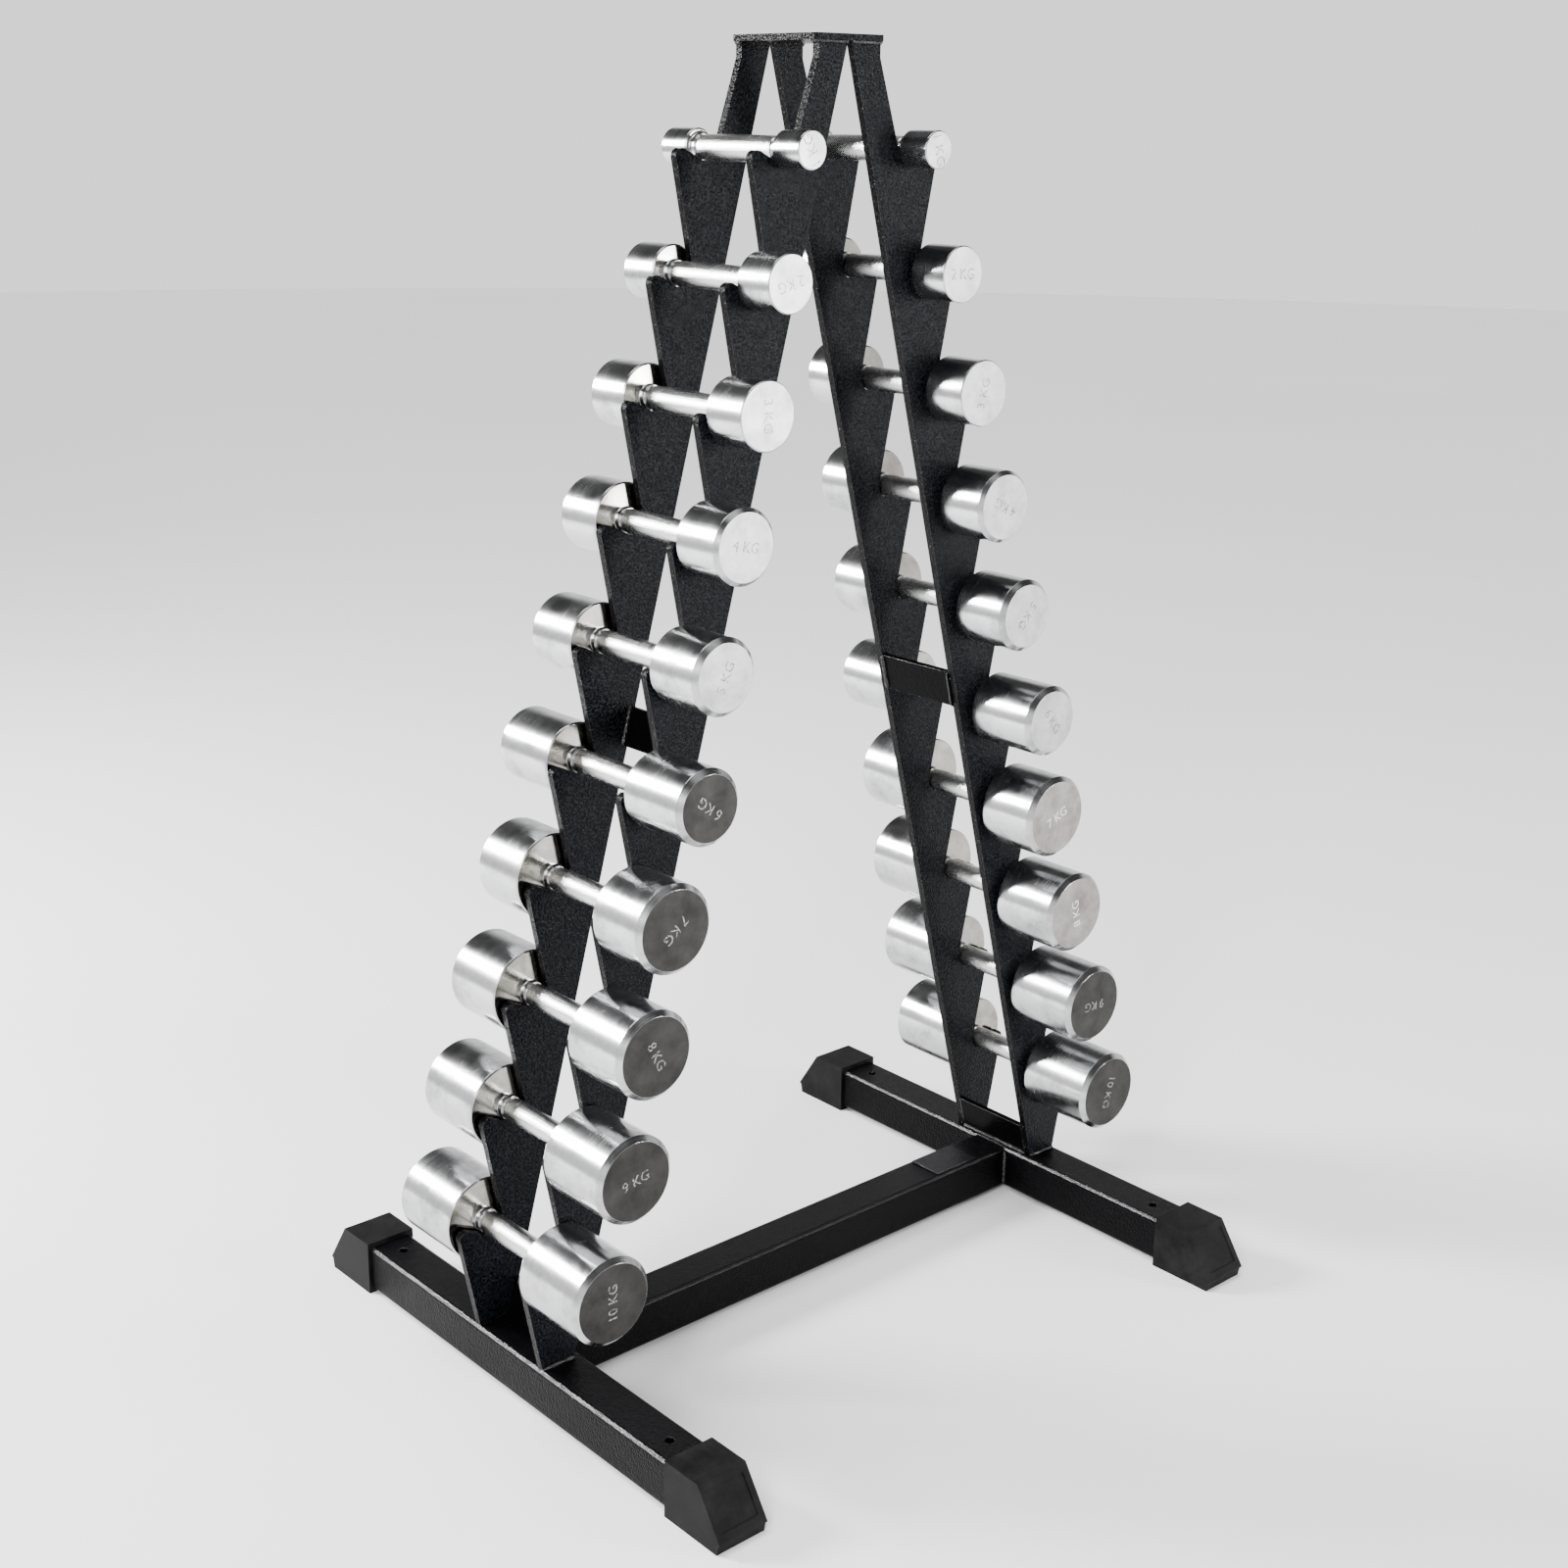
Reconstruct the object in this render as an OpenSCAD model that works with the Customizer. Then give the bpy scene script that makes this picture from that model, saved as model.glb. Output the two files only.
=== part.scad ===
// A-frame dumbbell rack holding ten pairs of one-piece steel dumbbells, 1 kg to 10 kg.
// Millimetres. +X is right, +Y is the back, +Z is up. The origin is on the floor, under
// the middle of the rack. Each side of the A has a front and a rear leg plate, and the
// handles lie across the pair in hook-shaped notches. The left side mirrors the right.

/* [Overall] */
// Height from the floor to the top of the top plate
rack_h = 1300; // [1150:10:1500]
// Distance between the centre lines of the two foot tubes
foot_spread = 703; // [620:1:820]
// Length of a foot from front to back over its two end caps
foot_l = 667; // [560:1:780]

/* [Leg plates] */
// Thickness of each leg plate
leg_t = 8; // [6:0.5:12]
// Clear gap between the front and the rear leg plate
leg_gap = 99; // [90:1:120]
// Half the gap between the left and the right legs under the top plate
leg_top_in = 2.6; // [1:0.1:10]
// Distance from the middle of the rack to a leg's outer edge, under the top plate
leg_top_out = 39; // [30:1:60]
// Height of the upright stretch of a leg's outer edge, under the top plate
leg_top_upright = 14; // [5:1:30]

/* [Notches] */
// Radial play of a handle in its notch
handle_play = 1.5; // [1:0.1:3]
// Distance from the middle of the rack to the highest notch
high_notch_x = 80.5; // [70:0.5:100]
// Height of the top of the rack above the highest notch
high_notch_drop = 100; // [80:1:130]
// Distance from a foot tube's centre line out to the lowest notch
low_notch_out = 5; // [0:0.5:20]
// Height of the lowest notch above the floor
low_notch_h = 166; // [150:1:200]
// Radius of the rounded lip at the tip of each hook
lip_r = 7.5; // [5:0.5:9]
// Distance from a notch's centre out to its lip's centre
lip_out = 30.3; // [28:0.1:34]
// Drop from a notch's centre down to its lip's centre
lip_drop = 9.5; // [6:0.1:12]

/* [Foot frame] */
// Outside width and height of the square tube
tube_w = 50; // [40:1:60]
// Wall thickness of the square tube
tube_wall = 3; // [2:0.5:4]
// Outside corner radius of the square tube
tube_corner = 5; // [3:0.5:8]
// Height of the tubes above the floor, which is the end caps' floor thickness
tube_clear = 4.5; // [3:0.5:8]
// Diameter of the floor bolt holes through the foot tubes
bolt_d = 10; // [8:0.5:14]
// Distance between the two floor bolt holes of one foot tube
bolt_spread = 456; // [400:1:480]

/* [End caps] */
// Thickness of an end cap's side walls
cap_side = 3.5; // [2:0.5:6]
// Thickness of an end cap's top wall
cap_top = 5; // [3:0.5:8]
// Length of foot tube that an end cap's sleeve covers
cap_sleeve = 43; // [25:1:60]
// Length of the solid nose of an end cap, past the end of the tube
cap_nose = 35.5; // [25:0.5:50]
// Length of the flat top of the nose, before its face slopes down
cap_flat = 4.5; // [2:0.5:10]
// Height of the lip at the foot of the sloping face
cap_lip_h = 13; // [8:1:20]
// Distance that the cap steps in under its lip
cap_lip_step = 4; // [1:0.5:8]

/* [Top plate, straps and label] */
// Width of the top plate from left to right
plate_w = 86.5; // [80:0.5:120]
// Overhang of the top plate past the leg plates at the front and the back
plate_over = 1; // [0:0.5:10]
// Thickness of the top plate
plate_t = 6; // [4:0.5:10]
// Width of the flat bar that the straps are cut from
strap_w = 40; // [30:1:60]
// Thickness of the flat bar that the straps are cut from
strap_t = 6; // [4:0.5:10]
// Width of the blank label plate on the cross tube
label_w = 64; // [40:1:80]
// Depth of the blank label plate from front to back
label_d = 42; // [20:1:44]
// Thickness of the blank label plate
label_t = 1.5; // [0.5:0.5:3]
// Distance from the middle of the rack to the middle of the label plate
label_x = 248; // [0:1:270]
// Size of the fillet weld beads
bead_r = 3.5; // [2:0.5:5]

/* [Dumbbells] */
// Diameter of the smooth neck that lies in the notches
neck_d = 25; // [22:0.5:30]
// Diameter of the knurled grip between the necks
grip_d = 24.5; // [20:0.5:30]
// Diameter of the turned groove at each end of the grip
groove_d = 22; // [16:0.5:22]
// Width of that groove
groove_w = 2.5; // [1:0.5:4]
// Side play between a leg plate and a dumbbell's head
head_play = 3.5; // [2:0.5:8]
// Head diameters, from the lightest dumbbell to the heaviest
head_d = [35, 54, 65, 73, 75, 75, 89, 89, 89, 90]; // ten values from 30 to 95
// Overall lengths, from the lightest dumbbell to the heaviest
bell_l = [194, 210, 221, 236, 254, 284, 260, 278, 294, 301]; // ten values from 180 to 330
// Outer edge chamfers, from the lightest dumbbell to the heaviest
head_chamfer = [1, 1, 1, 4, 5, 5, 5, 5, 5, 5]; // ten values from 0.5 to 6

/* [Hidden] */
$fn = 64;
side_signs = [-1, 1];
end_signs = [-1, 1];
tiers = len(head_d);
seat_gap = 0.3;          // the handles lie this far above the notches
notch_over = 0.15;       // notch circles are cut this much larger than their tangent lines
lip_over = 0.1;          // lip discs are this much larger than their tangent lines
cut_past = 1;            // cuts run this far past the surfaces they open
leg_stand = tube_w / 3;  // a leg's inner edge meets its foot tube this far in from the centre line
lift_play = 2;           // least gap between a lifted head and the head above or below it
least_head_l = 20;       // a head is never shorter than this
head_bevel = 2;          // bevel around a head's inner face
grip_bevel = 1;          // bevel at each end of the grip
plate_corner = 3;        // corner radius of the top plate
cap_lip_t = 1.5;         // height of the upright edge of an end cap's lip
cap_lip_slope = 1;       // rise of the lip's underside, out to that edge
panel_side = 7;          // margin beside the panel in an end cap's sloping face
panel_end = 8;           // margin above and below that panel
panel_depth = 1;         // depth of that panel

tube_top = tube_clear + tube_w;
foot_x = foot_spread / 2;
foot_in = foot_x - tube_w / 2;
tube_end = foot_l / 2 - cap_nose;
leg_top = rack_h - plate_t;
leg_in_y = leg_gap / 2;
leg_out_y = leg_in_y + leg_t;

// A leg's inner edge leans in from the foot tube to the top plate.
leg_foot_in = foot_x - leg_stand;
leg_slope = (leg_foot_in - leg_top_in) / (leg_top - tube_top);
lean = atan(leg_slope);
function inner_x(z) = leg_top_in + leg_slope * (leg_top - z);

// The notches and lips step down and out evenly.
notch_r = neck_d / 2 + handle_play;
tier_drop = (rack_h - high_notch_drop - low_notch_h) / (tiers - 1);
tier_out = (foot_x + low_notch_out - high_notch_x) / (tiers - 1);
function notch(t) = [high_notch_x + t * tier_out, rack_h - high_notch_drop - t * tier_drop];
function lip(t) = notch(t) + [lip_out, -lip_drop];

// Straight edges touch a notch circle on one side and a lip disc on the other.
reach = notch_r + lip_r;
ramp = asin(reach / norm([lip_out, lip_drop])) - atan2(lip_drop, lip_out);
hang = asin(reach / norm([tier_out - lip_out, tier_drop - lip_drop]))
    - atan2(tier_out - lip_out, tier_drop - lip_drop);
brow_from = [leg_top_out, leg_top - leg_top_upright];
brow_step = notch(0) - brow_from;
brow = acos(notch_r / norm(brow_step)) - atan2(-brow_step[1], brow_step[0]);
last_edge = lip(tiers - 1) + lip_r * [cos(hang), -sin(hang)];
leg_foot_out = last_edge[0] - (last_edge[1] - tube_top) * tan(hang);

// The handles rest just above the bottoms of the notches, clear of both straight edges.
handle_sag = notch_r + notch_over - seat_gap - neck_d / 2;
neck_out = leg_out_y + head_play;
grip_end = leg_in_y + groove_w;

// A head never grows so large that it would catch its neighbour as either is lifted off.
lift_angle = 40;
lift_pass = tier_drop * cos(lift_angle) + tier_out * sin(lift_angle);
function head_r(t) = min(head_d[t], lift_pass - lift_play) / 2;
function bell_half(t) = max(bell_l[t] / 2, neck_out + least_head_l);

function side_name(s) = s < 0 ? "left" : "right";
function end_name(e) = e < 0 ? "front" : "rear";
function leg_node(s, e) = str("leg_", end_name(e), "_", side_name(s));
function cap_node(s, e) = str("end_cap_", end_name(e), "_", side_name(s));
function tube_node(s) = str("foot_tube_", side_name(s));
function mid_strap_node(s) = str("mid_strap_", side_name(s));
function base_strap_node(s) = str("base_strap_", side_name(s));
function bell_node(t, s) = str("dumbbell_", t < 9 ? "0" : "", t + 1, "kg_", side_name(s));

// ---- Helpers ----

// Draws its children on the right, or mirrored onto the left.
module on_side(s) {
    mirror([s < 0 ? 1 : 0, 0, 0]) children();
}

// Draws its children at the back, or mirrored onto the front.
module on_end(e) {
    mirror([0, e < 0 ? 1 : 0, 0]) children();
}

// Stands a flat X-Z outline up, with its thickness from y to y + t.
module upright(y, t) {
    translate([0, y + t, 0]) rotate([90, 0, 0]) linear_extrude(t) children();
}

// Places its children on the leaning plane of the right legs' inner edges, at height z:
// their +X points out of the rack and their +Z points up the lean.
module on_lean(z) {
    translate([inner_x(z), 0, z]) rotate([0, -lean, 0]) children();
}

module rounded_square(w, r) {
    hull()
        for (x = [-1, 1], y = [-1, 1])
            translate([x, y] * (w / 2 - r)) circle(r, $fn = 32);
}

// One convex weld bead along +Z, in the corner between +X and a face at the given angle.
module bead(length, angle = 90) {
    linear_extrude(length)
        intersection() {
            circle(bead_r);
            polygon([[0, 0], [2 * bead_r, 0], 2 * bead_r * [cos(angle), sin(angle)]]);
        }
}

// ---- Legs ----

function hook_points(t) = [
    notch(t) + notch_r * [sin(ramp), -cos(ramp)],
    lip(t) + lip_r * [-sin(ramp), cos(ramp)],
    lip(t) + lip_r * [cos(hang), -sin(hang)],
    t < tiers - 1 ? notch(t + 1) + notch_r * [-cos(hang), sin(hang)] : [leg_foot_out, tube_top]
];

module leg_outline() {
    polygon(concat(
        [[leg_top_in, leg_top], [leg_top_out, leg_top], brow_from,
            notch(0) - notch_r * [cos(brow), sin(brow)]],
        [for (t = [0 : tiers - 1]) each hook_points(t)],
        [[leg_foot_in, tube_top]]
    ));
}

module leg(s, e) {
    color("#1d1e20") on_side(s) on_end(e)
        difference() {
            union() {
                upright(leg_in_y, leg_t) leg_outline();
                for (t = [0 : tiers - 1])
                    upright(leg_in_y, leg_t) translate(lip(t)) circle(lip_r + lip_over);
            }
            for (t = [0 : tiers - 1])
                upright(leg_in_y - cut_past, leg_t + 2 * cut_past)
                    translate(notch(t)) circle(notch_r + notch_over);
        }
}

// ---- Foot frame ----

module square_tube(length) {
    translate([0, 0, -length / 2]) linear_extrude(length)
        difference() {
            rounded_square(tube_w, tube_corner);
            rounded_square(tube_w - 2 * tube_wall, tube_corner - tube_wall);
        }
}

module foot_tube(s) {
    color("#17181a") translate([s * foot_x, 0, tube_clear + tube_w / 2])
        difference() {
            rotate([90, 0, 0]) square_tube(2 * tube_end);
            for (e = end_signs)
                translate([0, e * bolt_spread / 2, -tube_w]) cylinder(h = 2 * tube_w, d = bolt_d);
        }
}

module cross_tube() {
    color("#17181a") translate([0, 0, tube_clear + tube_w / 2])
        rotate([0, 90, 0]) square_tube(2 * foot_in);
}

module label_plate() {
    color("#202225") translate([label_x - label_w / 2, -label_d / 2, tube_top])
        cube([label_w, label_d, label_t]);
}

// ---- End caps ----

cap_w = tube_w + 2 * cap_side;
cap_h = tube_top + cap_top;
nose_top = tube_end + cap_flat;
nose_lip = foot_l / 2;
face_angle = atan2(cap_h - cap_lip_h, nose_lip - nose_top);
face_l = norm([cap_h - cap_lip_h, nose_lip - nose_top]);

module cap_side_view() {
    polygon([
        [tube_end - cap_sleeve, 0], [nose_lip - cap_lip_step, 0],
        [nose_lip - cap_lip_step / 2, cap_lip_h - cap_lip_t - cap_lip_slope],
        [nose_lip, cap_lip_h - cap_lip_t], [nose_lip, cap_lip_h],
        [nose_top, cap_h], [tube_end - cap_sleeve, cap_h]
    ]);
}

// The shallow blank panel in the sloping face.
module cap_panel() {
    panel_w = cap_w - 2 * panel_side;
    panel_l = face_l - 2 * panel_end;
    translate([0, nose_top, cap_h]) rotate([-face_angle, 0, 0])
        translate([-panel_w / 2, panel_end, -panel_depth]) cube([panel_w, panel_l, 2 * panel_depth]);
}

module end_cap(s, e) {
    color("#141414") translate([s * foot_x, 0, 0]) on_end(e)
        difference() {
            translate([-cap_w / 2, 0, 0]) rotate([90, 0, 90]) linear_extrude(cap_w) cap_side_view();
            translate([0, tube_end, tube_clear + tube_w / 2]) rotate([90, 0, 0])
                linear_extrude(cap_sleeve + cut_past) rounded_square(tube_w, tube_corner);
            cap_panel();
        }
}

// ---- Top plate and straps ----

module top_plate() {
    plate_d = 2 * (leg_out_y + plate_over);
    color("#1d1e20") translate([0, 0, leg_top]) linear_extrude(plate_t)
        hull()
            for (x = [-1, 1], y = [-1, 1])
                translate([x * (plate_w / 2 - plate_corner), y * (plate_d / 2 - plate_corner)])
                    circle(plate_corner, $fn = 32);
}

module mid_strap(s) {
    color("#1d1e20") on_side(s) on_lean(rack_h / 2)
        translate([0, -leg_in_y, -strap_w / 2]) cube([strap_t, leg_gap, strap_w]);
}

// The base strap stands on the foot tube, so its lower end is cut level.
module base_strap(s) {
    color("#1d1e20") on_side(s)
        difference() {
            on_lean(tube_top) translate([0, -leg_in_y, -strap_t])
                cube([strap_t, leg_gap, strap_w + strap_t]);
            translate([0, -leg_gap, 0]) cube([foot_spread, 2 * leg_gap, tube_top]);
        }
}

// ---- Weld beads ----

module top_welds() {
    color("#2a2b2d")
        for (s = side_signs, e = end_signs) on_side(s) on_end(e) {
            translate([leg_top_in, leg_out_y, leg_top]) rotate([0, 90, 0])
                bead(leg_top_out - leg_top_in);
            translate([leg_top_out, leg_out_y, leg_top]) rotate([90, 0, 0])
                mirror([0, 1, 0]) bead(leg_t);
        }
}

module strap_welds() {
    color("#2a2b2d")
        for (s = side_signs, e = end_signs) on_side(s) on_end(e) on_lean(rack_h / 2)
            translate([0, leg_in_y, -strap_w / 2]) {
                translate([strap_t, 0, 0]) rotate([0, 0, -90]) bead(strap_w);
                rotate([0, 0, 180]) bead(strap_w);
            }
}

module foot_welds() {
    foot_w = leg_foot_out - tube_corner / 2 - leg_foot_in;
    color("#2a2b2d") {
        for (s = side_signs, e = end_signs) on_side(s) on_end(e) {
            translate([leg_foot_in + foot_w, leg_out_y, tube_top]) rotate([0, -90, 0]) bead(foot_w);
            translate([foot_in, tube_w / 2, tube_clear + tube_corner])
                rotate([0, 0, 90]) bead(tube_w - 2 * tube_corner);
        }
        for (s = side_signs) on_side(s)
            translate([leg_foot_in, leg_in_y, tube_top]) rotate([90, 0, 0])
                mirror([1, 0, 0]) bead(leg_gap, 90 - lean);
    }
}

// ---- Dumbbells ----

// Half of a dumbbell's turned outline, as [radius, distance from the middle].
function bell_points(t) = let (r = head_r(t), h = bell_half(t), c = head_chamfer[t]) [
    [0, h], [r - c, h], [r, h - c],
    [r, neck_out + head_bevel], [r - head_bevel, neck_out], [neck_d / 2, neck_out],
    [neck_d / 2, grip_end + groove_w], [groove_d / 2, grip_end + groove_w],
    [groove_d / 2, grip_end], [grip_d / 2 - grip_bevel, grip_end], [grip_d / 2, grip_end - grip_bevel]
];

module dumbbell(t, s) {
    half = bell_points(t);
    far_half = [for (i = [len(half) - 1 : -1 : 0]) [half[i][0], -half[i][1]]];
    color("#b9bcc0") translate([s * notch(t)[0], 0, notch(t)[1] - handle_sag])
        rotate([90, 0, 0]) rotate_extrude() polygon(concat(half, far_half));
}

// ---- Nodes ----

top_plate();
cross_tube();
label_plate();
top_welds();
strap_welds();
foot_welds();
for (s = side_signs) for (e = end_signs) {
    leg(s, e);
    end_cap(s, e);
}
for (s = side_signs) {
    foot_tube(s);
    mid_strap(s);
    base_strap(s);
}
for (t = [0 : tiers - 1]) for (s = side_signs)
    dumbbell(t, s);
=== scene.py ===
import math

import bmesh
import bpy
from mathutils import Matrix, Vector

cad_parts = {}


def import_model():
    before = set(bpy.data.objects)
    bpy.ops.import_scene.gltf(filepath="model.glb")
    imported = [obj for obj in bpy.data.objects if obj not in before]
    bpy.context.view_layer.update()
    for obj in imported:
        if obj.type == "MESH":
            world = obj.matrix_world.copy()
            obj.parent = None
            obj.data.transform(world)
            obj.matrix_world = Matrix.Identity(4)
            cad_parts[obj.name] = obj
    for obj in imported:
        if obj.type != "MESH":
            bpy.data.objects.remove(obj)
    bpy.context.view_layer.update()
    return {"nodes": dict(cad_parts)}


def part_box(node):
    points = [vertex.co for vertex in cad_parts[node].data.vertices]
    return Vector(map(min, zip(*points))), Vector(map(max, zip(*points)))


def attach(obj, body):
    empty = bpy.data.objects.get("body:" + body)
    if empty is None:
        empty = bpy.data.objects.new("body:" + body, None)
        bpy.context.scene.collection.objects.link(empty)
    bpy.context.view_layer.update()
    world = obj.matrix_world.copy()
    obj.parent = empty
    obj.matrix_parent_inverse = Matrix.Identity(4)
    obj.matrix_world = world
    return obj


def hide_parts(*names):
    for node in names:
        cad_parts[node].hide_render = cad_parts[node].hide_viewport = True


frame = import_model()

# ---------------------------------------------------------------- measures

MM = 0.001
SIDES = ("left", "right")
ENDS = ("front", "rear")
TIERS = range(1, 11)

LEG_LOW, LEG_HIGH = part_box("leg_rear_right")
LEG_IN_Y, LEG_OUT_Y = LEG_LOW.y, LEG_HIGH.y
LEG_TOP, LEG_FOOT = LEG_HIGH.z, LEG_LOW.z
CROSS_LOW, CROSS_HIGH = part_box("cross_tube")

# Dumbbells: the chamfers are in millimetres, from the lightest pair to the heaviest
HEAD_PLAY = 3.5 * MM
HEAD_IN_Y = LEG_OUT_Y + HEAD_PLAY
HEAD_BEVEL = 1.5 * MM
HEAD_CHAMFERS = (1, 1, 1, 4, 5, 5, 5, 5, 5, 5)
EDGE_ROUNDING = 0.4 * MM
NECK_R = 12.5 * MM
NECK_BEVEL = 1 * MM
GROOVE_R = 11 * MM
GROOVE_W = 2.5 * MM
GRIP_R = 12.2 * MM
GRIP_END_R = 11.9 * MM
GRIP_END_Y = LEG_IN_Y + GROOVE_W
GRIP_BEVEL = 1 * MM
GRIP_BEVEL_DEPTH = 0.5 * MM
GRIP_STEPS = 6
LATHE_STEPS = 80
ARC_STEPS = 4
NEAR = 0.01 * MM
STAMP_SIZE = 15 * MM
STAMP_DEPTH = 0.15 * MM
STAMP_TURNS = {"left": 40, "right": 205}
STAMP_TURN_PER_TIER = 77
STEEL, END_FACE, KNURLING, STAMPING, INNER_END = range(5)

# Rounded edges of the frame
PLATE_BEVEL = 0.6 * MM
TOP_BEVEL = 0.8 * MM
TUBE_BEVEL = 0.3 * MM
CAP_BEVEL = 1.2 * MM
LABEL_BEVEL = 0.5 * MM
# A unit normal's three shares add up to 1 on a flat side of a tube and to 1.41 in the middle of a corner
CORNER_SLANT = 1.3

# Weld beads
BEAD_PITCH = 3.2 * MM
BEAD_ARC = 7
BEAD_LEAST_STEPS = 6
RIPPLE_STEPS = 5
RIPPLE_SHARE = 0.2
WANDER_SHARE = 0.06
WANDER_RATE = 310
WANDER_SHIFT = 900
TAPER_START = 0.35
TAPER_RATE = 12
TOP_BEAD = 3.4 * MM
STRAP_BEAD = 3.2 * MM
FOOT_BEAD = 3.8 * MM
CROSS_SIDE_BEAD = 3.6 * MM
CROSS_TOP_BEAD = 2.8 * MM
BEAD_START = 5 * MM
BEAD_SINK = 0.5 * MM
TUBE_CORNER = 4 * MM
STRAP_T = 6 * MM

# ---------------------------------------------------------------- material helpers


class Nodes:
    """A new material with its Principled shader, and short calls that add and join nodes."""

    def __init__(self, name):
        self.material = bpy.data.materials.new(name)
        self.material.use_nodes = True
        self.tree = self.material.node_tree
        self.shader = self.tree.nodes["Principled BSDF"]
        self.coords = self.add("ShaderNodeTexCoord")

    def add(self, kind, **settings):
        node = self.tree.nodes.new(kind)
        for key, value in settings.items():
            setattr(node, key, value)
        return node

    def join(self, source, target):
        self.tree.links.new(source, target)

    def stretched(self, source, scale):
        """Coordinates scaled by a different amount along each axis."""
        mapping = self.add("ShaderNodeMapping")
        mapping.inputs["Scale"].default_value = scale
        self.join(source, mapping.inputs["Vector"])
        return mapping.outputs["Vector"]

    def noise(self, vector, scale, detail=2.0, roughness=0.5):
        node = self.add("ShaderNodeTexNoise")
        node.inputs["Scale"].default_value = scale
        node.inputs["Detail"].default_value = detail
        node.inputs["Roughness"].default_value = roughness
        self.join(vector, node.inputs["Vector"])
        return node.outputs["Fac"]

    def ramp(self, value, stops):
        """Maps a value through (position, grey or colour) stops."""
        node = self.add("ShaderNodeValToRGB")
        elements = node.color_ramp.elements
        while len(elements) < len(stops):
            elements.new(0.5)
        for element, (position, shade) in zip(elements, stops):
            element.position = position
            rgb = shade if isinstance(shade, tuple) else (shade, shade, shade)
            element.color = (*rgb, 1.0)
        self.join(value, node.inputs["Fac"])
        return node.outputs["Color"]

    def math(self, operation, first, second):
        node = self.add("ShaderNodeMath", operation=operation)
        for socket, value in zip(node.inputs, (first, second)):
            if isinstance(value, (int, float)):
                socket.default_value = value
            else:
                self.join(value, socket)
        return node.outputs["Value"]

    def blend(self, share, first, second):
        """Mixes two colours; a share of 0 gives the first."""
        node = self.add("ShaderNodeMix", data_type="RGBA")
        self.join(share, node.inputs["Factor"])
        self.join(first, node.inputs["A"])
        self.join(second, node.inputs["B"])
        return node.outputs["Result"]

    def bump(self, height, distance):
        node = self.add("ShaderNodeBump")
        node.inputs["Distance"].default_value = distance
        self.join(height, node.inputs["Height"])
        return node.outputs["Normal"]

    def set(self, **values):
        for name, value in values.items():
            socket = self.shader.inputs[name.replace("_", " ")]
            if isinstance(value, bpy.types.NodeSocket):
                self.join(value, socket)
            else:
                socket.default_value = value


def textured_coat(name, gloss):
    """Black powder coat with a leathery grain; the plates' cut edges carry light-grey specks, partly
    chipped paint and partly painted glints.
    """
    n = Nodes(name)
    spot = n.coords.outputs["Object"]
    pebbles = n.noise(spot, scale=420.0, detail=1.5)
    patches = n.noise(spot, scale=7.0)
    chip_glint_noise = n.noise(spot, scale=420.0, detail=4.0, roughness=0.7)
    facing = n.add("ShaderNodeSeparateXYZ")
    n.join(n.coords.outputs["Normal"], facing.inputs["Vector"])
    cut_edge = n.math("LESS_THAN", n.math("ABSOLUTE", facing.outputs["Y"], 0.0), 0.6)
    coat = n.ramp(pebbles, [(0.42, (0.0008, 0.0008, 0.001)), (0.7, (0.010, 0.012, 0.016))])
    # Light-grey specks on the cut edges: partly chipped paint, partly painted glints for light catching
    # the edges.
    chips_and_glints = n.ramp(chip_glint_noise, [(0.65, 0.001), (0.72, 0.3)])
    n.set(
        Specular_IOR_Level=gloss,
        Base_Color=n.blend(cut_edge, coat, chips_and_glints),
        Roughness=n.ramp(patches, [(0.3, 0.2), (0.7, 0.3)]),
        Normal=n.bump(pebbles, distance=1.1 * MM),
    )
    return n.material


def satin_coat(name, gloss, rough, colour, grain, height):
    """Smoother black paint with an orange-peel surface."""
    n = Nodes(name)
    peel = n.noise(n.coords.outputs["Object"], scale=grain)
    wear = n.noise(n.coords.outputs["Object"], scale=14.0, detail=4.0, roughness=0.6)
    lighter = tuple(1.8 * c for c in colour)
    n.set(
        Specular_IOR_Level=gloss,
        Base_Color=n.ramp(wear, [(0.35, colour), (0.75, lighter)]),
        Roughness=n.ramp(wear, [(0.3, rough), (0.7, rough + 0.1)]),
        Normal=n.bump(peel, height),
    )
    return n.material


def moulded_rubber(name):
    n = Nodes(name)
    grain = n.noise(n.coords.outputs["Object"], scale=900.0, detail=3.0, roughness=0.6)
    scuffs = n.noise(n.coords.outputs["Object"], scale=30.0, detail=5.0, roughness=0.65)
    n.set(
        Specular_IOR_Level=0.07,
        Base_Color=n.ramp(scuffs, [(0.4, 0.002), (0.75, 0.013)]),
        Roughness=n.ramp(scuffs, [(0.3, 0.42), (0.7, 0.62)]),
        Normal=n.bump(grain, distance=0.35 * MM),
    )
    return n.material


def turned_chrome(name):
    """Polished plating over a turned surface: fine rings around the axis and cloudy patches."""
    n = Nodes(name)
    n.set(Metallic=1.0)
    along_axis = n.stretched(n.coords.outputs["Object"], scale=(4, 1500, 4))
    rings = n.noise(along_axis, scale=1.0, detail=3.0, roughness=0.6)
    clouds = n.noise(n.coords.outputs["Object"], scale=28.0, detail=5.0, roughness=0.65)
    n.set(
        Base_Color=n.ramp(clouds, [(0.3, (0.28, 0.283, 0.288)), (0.55, (0.5, 0.506, 0.514))]),
        Roughness=n.math("ADD", n.ramp(clouds, [(0.35, 0.24), (0.65, 0.1)]),
                         n.ramp(rings, [(0.3, 0.0), (0.8, 0.1)])),
        Normal=n.bump(rings, distance=0.03 * MM),
    )
    return n.material


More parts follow.
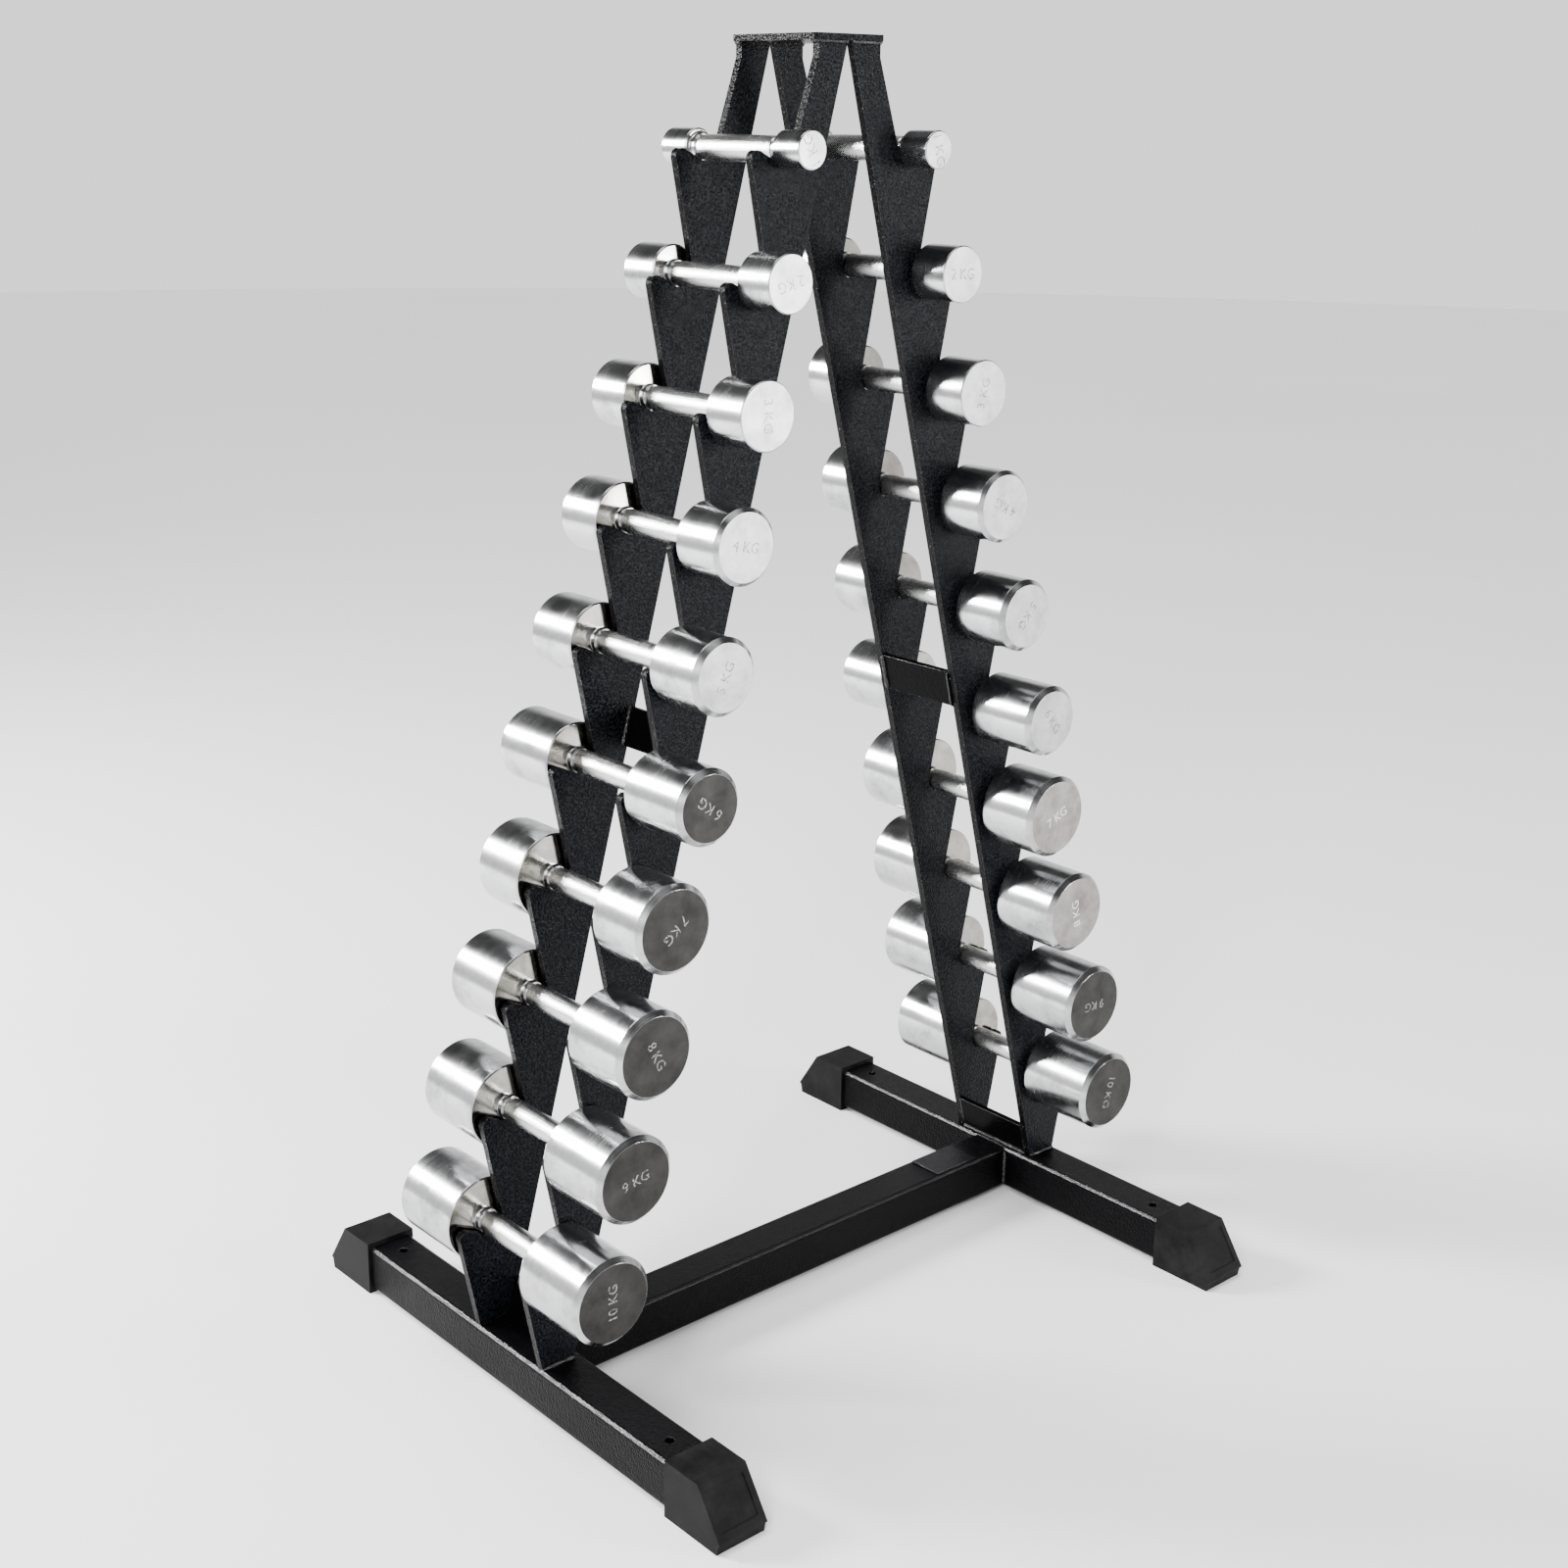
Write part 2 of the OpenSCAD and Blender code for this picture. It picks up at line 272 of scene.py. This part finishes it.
def satin_face(name, dark, light, rough):
    """A flat end of a head: dull plating over a faced end, with stains and small pits."""
    n = Nodes(name)
    n.set(Metallic=1.0)
    grain = n.noise(n.coords.outputs["Object"], scale=700.0, detail=4.0, roughness=0.65)
    stains = n.noise(n.coords.outputs["Object"], scale=45.0, detail=5.0, roughness=0.65)
    n.set(
        Base_Color=n.ramp(stains, [(0.3, dark), (0.7, light)]),
        Roughness=n.ramp(stains, [(0.3, rough + 0.06), (0.7, rough)]),
        Normal=n.bump(grain, distance=0.04 * MM),
    )
    return n.material


def stamped_mark(name, dark, light):
    n = Nodes(name)
    n.set(Metallic=1.0)
    grain = n.noise(n.coords.outputs["Object"], scale=900.0)
    n.set(
        Base_Color=n.ramp(grain, [(0.4, dark), (0.6, light)]),
        Roughness=n.ramp(grain, [(0.3, 0.25), (0.7, 0.45)]),
    )
    return n.material


def knurled_grip(name):
    """Diamond knurling from two crossing sets of ridges; the UV map is unrolled in metres."""
    n = Nodes(name)
    n.set(Metallic=1.0)
    lean = math.radians(32)
    ridges = []
    for angle in (lean, -lean):
        turned = n.add("ShaderNodeMapping")
        turned.inputs["Rotation"].default_value = (0, 0, angle)
        n.join(n.coords.outputs["UV"], turned.inputs["Vector"])
        wave = n.add("ShaderNodeTexWave", bands_direction="X", wave_profile="SIN")
        wave.inputs["Scale"].default_value = 210.0
        n.join(turned.outputs["Vector"], wave.inputs["Vector"])
        ridges.append(wave.outputs["Fac"])
    diamonds = n.math("MULTIPLY", *ridges)
    clouds = n.noise(n.coords.outputs["Object"], scale=40.0, detail=4.0)
    n.set(
        Base_Color=n.ramp(diamonds, [(0.0, (0.52, 0.52, 0.51)), (0.5, (0.8, 0.8, 0.79))]),
        Roughness=n.ramp(clouds, [(0.3, 0.2), (0.7, 0.3)]),
        Normal=n.bump(diamonds, distance=0.12 * MM),
    )
    return n.material


def painted_weld(name):
    n = Nodes(name)
    ripples = n.noise(n.coords.outputs["Object"], scale=420.0)
    n.set(
        Specular_IOR_Level=0.5,
        Base_Color=n.ramp(ripples, [(0.35, 0.001), (0.7, 0.006)]),
        Roughness=n.ramp(ripples, [(0.3, 0.12), (0.7, 0.22)]),
        Normal=n.bump(ripples, distance=1.6 * MM),
    )
    return n.material


def plain_floor(name):
    n = Nodes(name)
    tone = n.noise(n.coords.outputs["Object"], scale=0.6)
    n.set(
        Base_Color=n.ramp(tone, [(0.2, 0.86), (0.8, 0.9)]),
        Roughness=0.7,
    )
    return n.material


FACE_GLOSS = 0.055
TUBE_GLOSS = 0.03
STRAP_GLOSS = 0.02
CROSS_EDGE_GLOSS = 0.25
EDGE_GLOSS = 1.0
ROUGH = 0.16
POLISHED = 0.08
TUBE_PEEL = (480.0, 1.5 * MM)
STRAP_PEEL = (480.0, 0.5 * MM)
LABEL_PEEL = (500.0, 1.4 * MM)
LEG_COAT = textured_coat("leg_coating", FACE_GLOSS)
LEG_EDGE = textured_coat("leg_edge", EDGE_GLOSS)
TUBE_BLACK = (0.0015, 0.0015, 0.0018)
STRAP_BLACK = (0.001, 0.001, 0.0012)
LABEL_BLACK = (0.004, 0.004, 0.005)
TUBE_COAT = satin_coat("tube_coating", TUBE_GLOSS, ROUGH, TUBE_BLACK, *TUBE_PEEL)
TUBE_EDGE = satin_coat("tube_edge", EDGE_GLOSS, POLISHED, TUBE_BLACK, *TUBE_PEEL)
CROSS_EDGE = satin_coat("cross_edge", CROSS_EDGE_GLOSS, ROUGH, TUBE_BLACK, *TUBE_PEEL)
STRAP_COAT = satin_coat("strap_coating", STRAP_GLOSS, ROUGH, STRAP_BLACK, *STRAP_PEEL)
STRAP_EDGE = satin_coat("strap_edge", EDGE_GLOSS, ROUGH, STRAP_BLACK, *STRAP_PEEL)
LABEL_COAT = satin_coat("label_coating", FACE_GLOSS, ROUGH, LABEL_BLACK, *LABEL_PEEL)
CAP_RUBBER = moulded_rubber("cap_rubber")
WELD_COAT = painted_weld("weld_coating")
CHROME = turned_chrome("bell_steel")
# End colours: the bright one is the plating; the other two are painted shade for the ends lower in the
# rack, one of them with a warm stained tint as well.
FACES = {
    "bright": satin_face("bell_face_bright", (0.32, 0.318, 0.315), (0.52, 0.52, 0.52), 0.34),
    "stained_and_shaded": satin_face("bell_face_stained_and_shaded", (0.17, 0.155, 0.145), (0.34, 0.32, 0.31), 0.36),
    "dark": satin_face("bell_face_shaded", (0.026, 0.0255, 0.0245), (0.05, 0.049, 0.047), 0.42),
}
INNER_FACE = satin_face("bell_inner_face", (0.26, 0.24, 0.2), (0.46, 0.45, 0.43), 0.1)
# The stamps' colours follow the same split, painted shade included.
STAMPS = {
    "bright": stamped_mark("bell_stamp_bright", 0.08, 0.4),
    "stained_and_shaded": stamped_mark("bell_stamp_stained_and_shaded", 0.5, 0.9),
    "dark": stamped_mark("bell_stamp_shaded", 0.03, 0.4),
}
KNURL = knurled_grip("bell_grip")

# ---------------------------------------------------------------- carried-over CAD nodes


def finish_node(name, coat, edge_coat, edge):
    """Gives a CAD node its coat, and small rounded edges in the glossier edge coat."""
    node = frame["nodes"][name]
    node.data.materials.clear()
    node.data.materials.append(coat)
    node.data.materials.append(edge_coat)
    weld = node.modifiers.new("join", "WELD")
    weld.merge_threshold = 0.005 * MM
    bevel = node.modifiers.new("edges", "BEVEL")
    bevel.width = edge
    bevel.segments = 3
    bevel.angle_limit = math.radians(40)
    bevel.harden_normals = True
    bevel.material = 1
    node.modifiers.new("normals", "WEIGHTED_NORMAL").keep_sharp = True


def finish_tube(name, edge_coat):
    """A square tube also has the edge coat on its rounded corners, whose faces are slanted."""
    finish_node(name, TUBE_COAT, edge_coat, TUBE_BEVEL)
    for face in frame["nodes"][name].data.polygons:
        slant = sum(abs(share) for share in face.normal)
        face.material_index = 1 if slant > CORNER_SLANT else 0


for side in SIDES:
    for end in ENDS:
        finish_node(f"leg_{end}_{side}", LEG_COAT, LEG_EDGE, PLATE_BEVEL)
        finish_node(f"end_cap_{end}_{side}", CAP_RUBBER, CAP_RUBBER, CAP_BEVEL)
    finish_tube(f"foot_tube_{side}", TUBE_EDGE)
    finish_node(f"mid_strap_{side}", STRAP_COAT, STRAP_EDGE, PLATE_BEVEL)
    finish_node(f"base_strap_{side}", STRAP_COAT, STRAP_EDGE, PLATE_BEVEL)
finish_tube("cross_tube", CROSS_EDGE)
finish_node("top_plate", LEG_COAT, LEG_EDGE, TOP_BEVEL)
finish_node("label_plate", LABEL_COAT, STRAP_EDGE, LABEL_BEVEL)

# ---------------------------------------------------------------- mesh helpers


def new_piece(name, body, mesh, slot, *replaced):
    piece = bpy.data.objects.new(name, mesh)
    bpy.context.scene.collection.objects.link(piece)
    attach(piece, body)
    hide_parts(*replaced)
    return piece


def rounded(corners):
    """Turns (radius, along, rounding) corners into an outline with an arc at each rounded one."""
    outline = []
    for index, (x, y, rounding) in enumerate(corners):
        here = Vector((x, y))
        if rounding == 0 or index in (0, len(corners) - 1):
            outline.append(here)
            continue
        back = (Vector(corners[index - 1][:2]) - here).normalized()
        ahead = (Vector(corners[index + 1][:2]) - here).normalized()
        half = back.angle(ahead) / 2
        reach = rounding / math.tan(half)
        centre = here + (back + ahead).normalized() * (rounding / math.sin(half))
        start = here + back * reach - centre
        stop = here + ahead * reach - centre
        turn = start.angle_signed(stop)
        for step in range(ARC_STEPS + 1):
            spin = Matrix.Rotation(-turn * step / ARC_STEPS, 2)
            outline.append(centre + spin @ start)
    return outline


def lathe(bm, outline, parts):
    """Turns an outline around Y; parts(point, next point) gives each ring's material index."""
    uv = bm.loops.layers.uv.verify()
    rings = []
    for radius, along in outline:
        if radius < NEAR:
            rings.append([bm.verts.new((0, along, 0))])
            continue
        angles = [2 * math.pi * k / LATHE_STEPS for k in range(LATHE_STEPS)]
        rings.append([bm.verts.new((radius * math.sin(a), along, radius * math.cos(a))) for a in angles])
    for index in range(len(rings) - 1):
        near, far = rings[index], rings[index + 1]
        part = parts(outline[index], outline[index + 1])
        for k in range(LATHE_STEPS):
            after = (k + 1) % LATHE_STEPS
            if len(near) == 1:
                face = bm.faces.new((near[0], far[after], far[k]))
            elif len(far) == 1:
                face = bm.faces.new((near[k], near[after], far[0]))
            else:
                face = bm.faces.new((near[k], near[after], far[after], far[k]))
            face.material_index = part
            face.smooth = True
            for loop in face.loops:
                turn = k + (1 if loop.vert in (near[after % len(near)], far[after % len(far)]) else 0)
                loop[uv].uv = (2 * math.pi * GRIP_R * turn / LATHE_STEPS, loop.vert.co.y)


# ---------------------------------------------------------------- dumbbells


def stamp(bm, text, face_y, turn):
    """Adds a shallow mark to a head's flat end, reading the right way round from outside."""
    curve = bpy.data.curves.new("stamp", "FONT")
    curve.body = text
    curve.size = STAMP_SIZE
    curve.align_x = "CENTER"
    curve.align_y = "CENTER"
    curve.extrude = STAMP_DEPTH
    curve.resolution_u = 3
    letters = bpy.data.objects.new("stamp", curve)
    bpy.context.scene.collection.objects.link(letters)
    bpy.context.view_layer.update()
    mesh = bpy.data.meshes.new_from_object(letters.evaluated_get(bpy.context.evaluated_depsgraph_get()))
    outward = 1 if face_y > 0 else -1
    stand = Matrix.Rotation(math.radians(90), 4, "X")
    if outward > 0:
        stand = Matrix.Rotation(math.pi, 4, "Z") @ stand
    spin = Matrix.Rotation(turn, 4, "Y")
    mesh.transform(Matrix.Translation((0, face_y, 0)) @ spin @ stand)
    first = len(bm.faces)
    bm.from_mesh(mesh)
    bm.faces.ensure_lookup_table()
    for face in bm.faces[first:]:
        face.material_index = STAMPING
    bpy.data.objects.remove(letters)
    bpy.data.meshes.remove(mesh)
    bpy.data.curves.remove(curve)


def end_finish_and_shade(tier, side):
    """The ends of tiers 1 to 5 and the right-hand 6 kg stay bright; lower down the rack the ends are
    painted darker as painted shade, the right-hand 7 and 8 kg a warm stained grey that is partly painted
    shade, the rest a near-black painted shade.
    """
    if tier < 6 or (side == "right" and tier == 6):
        return "bright"
    return "stained_and_shaded" if side == "right" and tier < 9 else "dark"


def dumbbell(tier, side):
    node = f"dumbbell_{tier:02d}kg_{side}"
    low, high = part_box(node)
    centre = (low + high) / 2
    head_r = (high.x - low.x) / 2
    half = (high.y - low.y) / 2
    chamfer = HEAD_CHAMFERS[tier - 1] * MM
    grip = []
    for k in range(GRIP_STEPS, -1, -1):
        radius = GRIP_R - (GRIP_R - GRIP_END_R) * (k / GRIP_STEPS) ** 4
        grip.append(Vector((radius, (GRIP_END_Y - GRIP_BEVEL) * k / GRIP_STEPS)))
    corners = [
        (0, half, 0),
        (head_r - chamfer, half, EDGE_ROUNDING),
        (head_r, half - chamfer, EDGE_ROUNDING),
        (head_r, HEAD_IN_Y + HEAD_BEVEL, EDGE_ROUNDING),
        (head_r - HEAD_BEVEL, HEAD_IN_Y, EDGE_ROUNDING),
        (NECK_R + NECK_BEVEL, HEAD_IN_Y, 0),
        (NECK_R, HEAD_IN_Y - NECK_BEVEL, 0),
        (NECK_R, GRIP_END_Y + GROOVE_W, EDGE_ROUNDING),
        (GROOVE_R, GRIP_END_Y + GROOVE_W, EDGE_ROUNDING),
        (GROOVE_R, GRIP_END_Y, EDGE_ROUNDING),
        (GRIP_END_R - GRIP_BEVEL_DEPTH, GRIP_END_Y, 0),
    ]
    near = rounded(corners) + grip
    far = [Vector((point.x, -point.y)) for point in reversed(near[:-1])]

    def part(here, there):
        reaches = (abs(here.y), abs(there.y))
        if max(reaches) < GRIP_END_Y - GRIP_BEVEL + NEAR:
            return KNURLING
        if min(reaches) > half - NEAR:
            return END_FACE
        off_inner_end = sum(abs(reach - HEAD_IN_Y) for reach in reaches)
        return INNER_END if off_inner_end < NEAR else STEEL

    mesh = bpy.data.meshes.new(f"bell_{tier:02d}_{side}")
    bm = bmesh.new()
    lathe(bm, near + far, part)
    bmesh.ops.recalc_face_normals(bm, faces=bm.faces)
    turn = math.radians(STAMP_TURN_PER_TIER * tier + STAMP_TURNS[side])
    for end in (-1, 1):
        stamp(bm, f"{tier} KG", end * half, turn * end)
    bm.to_mesh(mesh)
    bm.free()
    mesh.transform(Matrix.Translation(centre))
    # The end colour, painted darker as shade lower in the rack.
    finish_and_shade = end_finish_and_shade(tier, side)
    for material in (CHROME, FACES[finish_and_shade], KNURL, STAMPS[finish_and_shade], INNER_FACE):
        mesh.materials.append(material)
    bell = new_piece(f"bell_{tier:02d}_{side}", node, mesh, "bell_steel", node)
    bell.modifiers.new("normals", "WEIGHTED_NORMAL").keep_sharp = True


for tier in TIERS:
    for side in SIDES:
        dumbbell(tier, side)

# ---------------------------------------------------------------- weld beads


def bead(bm, start, stop, first, second, size):
    """One rippled weld bead from start to stop, filling the corner between two directions."""
    length = (stop - start).length
    steps = max(BEAD_LEAST_STEPS, round(length / (BEAD_PITCH / RIPPLE_STEPS)))
    rows = []
    for k in range(steps + 1):
        share = k / steps
        ripple = abs(math.sin(math.pi * share * length / BEAD_PITCH))
        wander = math.sin(share * length * WANDER_RATE + start.x * WANDER_SHIFT) * WANDER_SHARE
        end_taper = min(1.0, TAPER_START + TAPER_RATE * min(share, 1 - share))
        radius = size * (1 - RIPPLE_SHARE + RIPPLE_SHARE * ripple + wander) * end_taper
        row = [start.lerp(stop, share)]
        for j in range(BEAD_ARC):
            angle = math.pi / 2 * j / (BEAD_ARC - 1)
            row.append(row[0] + radius * (math.cos(angle) * first + math.sin(angle) * second))
        rows.append([bm.verts.new(point) for point in row])
    count = len(rows[0])
    for near, far in zip(rows, rows[1:]):
        for j in range(count):
            after = (j + 1) % count
            bm.faces.new((near[j], near[after], far[after], far[j])).smooth = True
    bm.faces.new(rows[0])
    bm.faces.new(list(reversed(rows[-1])))


def welds(node, seams):
    """Replaces a weld node; each seam is drawn on all four quarters of the rack."""
    mesh = bpy.data.meshes.new(node)
    bm = bmesh.new()
    for x in (-1, 1):
        for y in (-1, 1):
            quarter = Vector((x, y, 1))
            for start, stop, first, second, size in seams:
                bead(bm, start * quarter, stop * quarter, first * quarter, second * quarter, size)
    bmesh.ops.recalc_face_normals(bm, faces=bm.faces)
    bm.to_mesh(mesh)
    bm.free()
    mesh.materials.append(WELD_COAT)
    return new_piece(node + "_beads", "rack", mesh, "weld_coating", node)


def reach_at(node, z, within=1.5 * MM):
    """The least and greatest x of a CAD node's points at height z."""
    xs = [v.co.x for v in frame["nodes"][node].data.vertices if abs(v.co.z - z) < within]
    return min(xs), max(xs)


X, Y, Z = Vector((1, 0, 0)), Vector((0, 1, 0)), Vector((0, 0, 1))
top_in, top_out = reach_at("leg_rear_right", LEG_TOP)
foot_in, foot_out = reach_at("leg_rear_right", LEG_FOOT)
strap_low, strap_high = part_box("mid_strap_right")
lean = math.atan2(foot_in - top_in, LEG_TOP - LEG_FOOT)
out_lean = Vector((math.cos(lean), 0, math.sin(lean)))
strap_in_foot = Vector((strap_high.x - STRAP_T * out_lean.x, LEG_IN_Y, strap_low.z))
strap_in_head = Vector((strap_low.x, LEG_IN_Y, strap_high.z - STRAP_T * out_lean.z))
strap_skin = STRAP_T * out_lean
tube_half = CROSS_HIGH.y
side_low = Vector((CROSS_HIGH.x, tube_half, CROSS_LOW.z + BEAD_START))
side_high = Vector((CROSS_HIGH.x, tube_half, CROSS_HIGH.z - TUBE_CORNER))
top_middle = Vector((CROSS_HIGH.x, 0, CROSS_HIGH.z - BEAD_SINK))
top_corner = Vector((CROSS_HIGH.x, tube_half - TUBE_CORNER, CROSS_HIGH.z - BEAD_SINK))

welds("top_welds", [
    (Vector((top_in, LEG_OUT_Y, LEG_TOP)), Vector((top_out, LEG_OUT_Y, LEG_TOP)), Y, -Z, TOP_BEAD),
    (Vector((top_out, LEG_IN_Y, LEG_TOP)), Vector((top_out, LEG_OUT_Y, LEG_TOP)), X, -Z, TOP_BEAD),
])
welds("strap_welds", [
    (strap_in_foot, strap_in_head, -out_lean, -Y, STRAP_BEAD),
    (strap_in_foot + strap_skin, strap_in_head + strap_skin, out_lean, -Y, STRAP_BEAD),
])
welds("foot_welds", [
    (Vector((foot_in, LEG_OUT_Y, LEG_FOOT)), Vector((foot_out, LEG_OUT_Y, LEG_FOOT)), Y, Z, FOOT_BEAD),
    (Vector((foot_in, 0, LEG_FOOT)), Vector((foot_in, LEG_IN_Y, LEG_FOOT)), -X, Z, FOOT_BEAD),
    (side_low, side_high, Y, -X, CROSS_SIDE_BEAD),
    (top_middle, top_corner, X, Z, CROSS_TOP_BEAD),
])

# ---------------------------------------------------------------- floor, light and camera

FLOOR_R = 14
SKY_BANDS = [(0.0, 0.93), (0.3, 0.9), (0.5, 0.04), (0.8, 0.04), (0.92, 1)]


def floor():
    mesh = bpy.data.meshes.new("floor")
    bm = bmesh.new()
    bmesh.ops.create_circle(bm, cap_ends=True, segments=96, radius=FLOOR_R)
    bm.to_mesh(mesh)
    bm.free()
    mesh.materials.append(plain_floor("floor"))
    ground = bpy.data.objects.new("floor", mesh)
    bpy.context.scene.collection.objects.link(ground)


def world(strength):
    """Pale surroundings with a dim band well above the horizon, so that polished steel has contrast."""
    sky = bpy.data.worlds.new("studio")
    sky.use_nodes = True
    tree = sky.node_tree
    coords = tree.nodes.new("ShaderNodeTexCoord")
    split = tree.nodes.new("ShaderNodeSeparateXYZ")
    ramp = tree.nodes.new("ShaderNodeValToRGB")
    elements = ramp.color_ramp.elements
    while len(elements) < len(SKY_BANDS):
        elements.new(0.5)
    for element, (height, grey) in zip(elements, SKY_BANDS):
        element.position = height
        element.color = (grey, grey, grey, 1)
    tree.links.new(coords.outputs["Generated"], split.inputs["Vector"])
    tree.links.new(split.outputs["Z"], ramp.inputs["Fac"])
    background = tree.nodes["Background"]
    background.inputs["Strength"].default_value = strength
    tree.links.new(ramp.outputs["Color"], background.inputs["Color"])
    bpy.context.scene.world = sky


def sun(direction, strength, softness):
    """Even light over the whole floor, coming from the given direction."""
    light = bpy.data.lights.new("sun", "SUN")
    light.energy = strength
    light.angle = math.radians(softness)
    lamp = bpy.data.objects.new("sun", light)
    lamp.rotation_euler = Vector(direction).to_track_quat("Z", "Y").to_euler()
    bpy.context.scene.collection.objects.link(lamp)


def softbox(name, place, target, size, power):
    light = bpy.data.lights.new(name, "AREA")
    light.shape = "RECTANGLE"
    light.size, light.size_y = size
    light.energy = power
    lamp = bpy.data.objects.new(name, light)
    lamp.location = place
    lamp.rotation_euler = (Vector(target) - Vector(place)).to_track_quat("-Z", "Y").to_euler()
    bpy.context.scene.collection.objects.link(lamp)


def camera(place, yaw, pitch, roll, lens, shift):
    """Yaw turns from +Y towards +X, a negative pitch looks down, roll tips the picture."""
    yaw, pitch, roll = map(math.radians, (yaw, pitch, roll))
    ahead = Vector((math.sin(yaw) * math.cos(pitch), math.cos(yaw) * math.cos(pitch), math.sin(pitch)))
    level = Vector((math.cos(yaw), -math.sin(yaw), 0))
    above = level.cross(ahead)
    across = level * math.cos(roll) + above * math.sin(roll)
    upward = above * math.cos(roll) - level * math.sin(roll)
    data = bpy.data.cameras.new("camera")
    data.lens = lens
    data.sensor_width = 36
    data.shift_x, data.shift_y = shift
    data.clip_start = 0.05
    eye = bpy.data.objects.new("camera", data)
    eye.matrix_world = Matrix.Translation(place) @ Matrix((across, upward, -ahead)).transposed().to_4x4()
    bpy.context.scene.collection.objects.link(eye)
    bpy.context.scene.camera = eye


floor()
world(strength=1.5)
sun(direction=(-0.2, 0.1, 1.0), strength=2.6, softness=30)
softbox("key", place=(-2.6, -1.6, 2.2), target=(0, 0, 0.7), size=(0.5, 1.6), power=110)
softbox("side", place=(2.0, -3.0, 1.0), target=(0, 0, 0.7), size=(0.5, 1.4), power=100)
softbox("rim", place=(-1.9, 2.35, 1.85), target=(0, 0, 0.5), size=(0.8, 0.8), power=260)
camera(
    place=(-1.4348, -1.5694, 1.2293), yaw=41.22, pitch=-17.4, roll=0.63,
    lens=49.4, shift=(0.0208, 0.0024),
)
